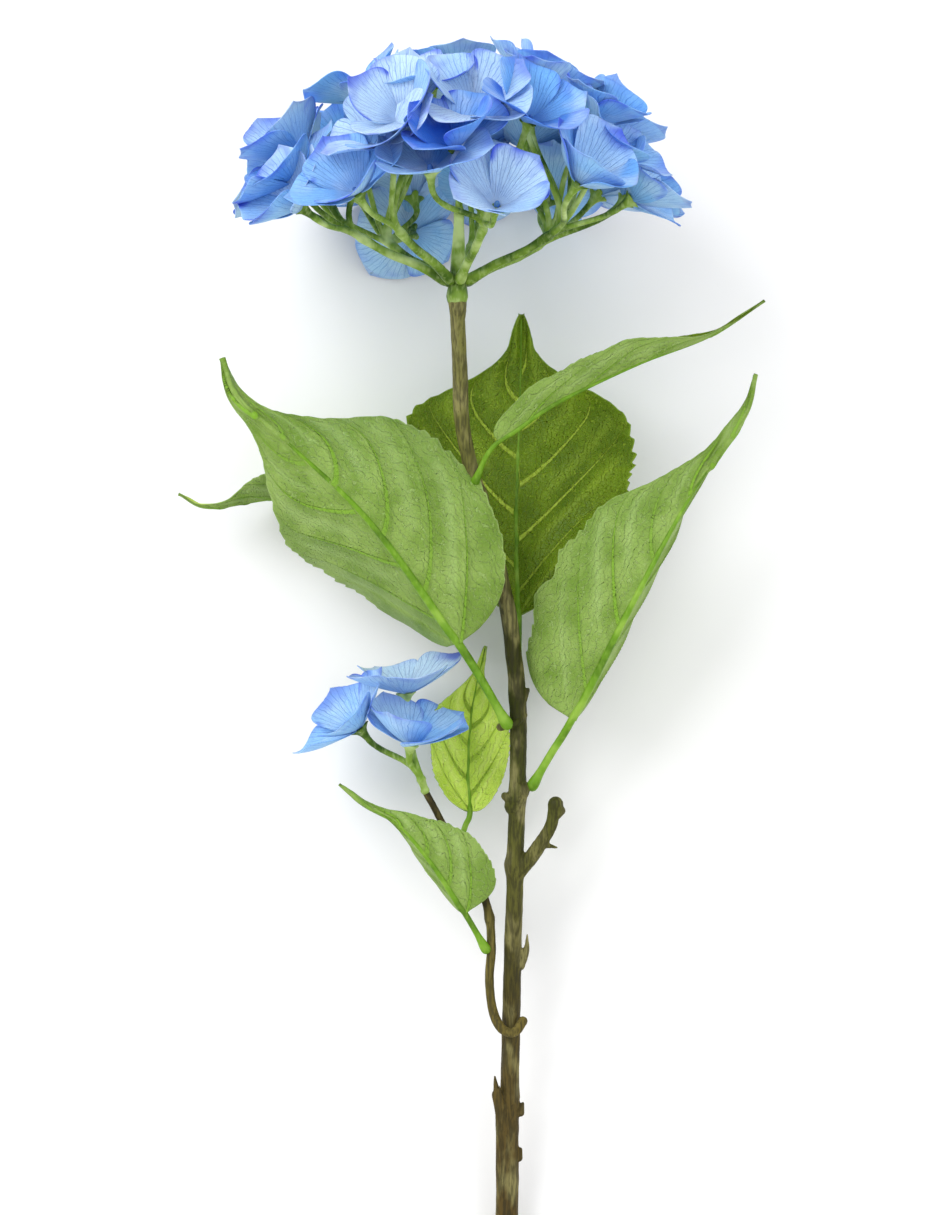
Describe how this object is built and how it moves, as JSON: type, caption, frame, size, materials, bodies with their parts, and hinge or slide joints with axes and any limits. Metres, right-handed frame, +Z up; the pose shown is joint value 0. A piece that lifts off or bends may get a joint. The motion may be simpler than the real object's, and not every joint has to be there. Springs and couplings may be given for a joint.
{
  "type": "hydrangea stem",
  "caption": "Single cut stem of blue mophead hydrangea with a domed flower head, broad leaves and a small flowering side shoot, lying down.",
  "frame": {"origin": "on the surface it lies on, below the middle of the whole stem", "axes": "+Y along the stem from the cut end to the flower head, +Z up from the surface, +X across to the side of the cut stub"},
  "size_m": [0.2486, 0.5186, 0.1724],
  "materials": {
    "bark": "matte",
    "shoot_bark": "matte",
    "leaf": "satin",
    "flower_stalk": "satin",
    "petal": "matte"
  },
  "bodies": {
    "root": {"floret_01": "petal", "floret_02": "petal", "floret_03": "petal", "floret_04": "petal", "floret_05": "petal", "floret_06": "petal", "floret_07": "petal", "floret_08": "petal", "floret_09": "petal", "floret_10": "petal", "floret_11": "petal", "floret_12": "petal", "floret_13": "petal", "floret_14": "petal", "floret_15": "petal", "floret_16": "petal", "floret_17": "petal", "floret_18": "petal", "floret_19": "petal", "floret_20": "petal", "floret_21": "petal", "floret_22": "petal", "floret_23": "petal", "floret_24": "petal", "floret_25": "petal", "floret_26": "petal", "floret_27": "petal", "floret_28": "petal", "floret_29": "petal", "floret_30": "petal", "floret_31": "petal", "floret_32": "petal", "floret_33": "petal", "floret_34": "petal", "floret_35": "petal", "floret_36": "petal", "floret_37": "petal", "floret_38": "petal", "floret_39": "petal", "flower_stalk_1": "flower_stalk", "flower_stalk_2": "flower_stalk", "flower_stalk_3": "flower_stalk", "flower_stalk_4": "flower_stalk", "flower_stalk_5": "flower_stalk", "flower_stalk_6": "flower_stalk", "flower_stalk_7": "flower_stalk", "flower_stalk_middle": "flower_stalk", "leaf_back": "leaf", "leaf_left_large": "leaf", "leaf_right": "leaf", "leaf_shoot_lower": "leaf", "leaf_shoot_upper": "leaf", "leaf_upper_left": "leaf", "leaf_upper_right": "leaf", "main_stem": "bark", "side_floret_1": "petal", "side_floret_2": "petal", "side_floret_3": "petal", "side_shoot": "shoot_bark", "side_shoot_stalks": "flower_stalk"}
  },
  "joints": []
}
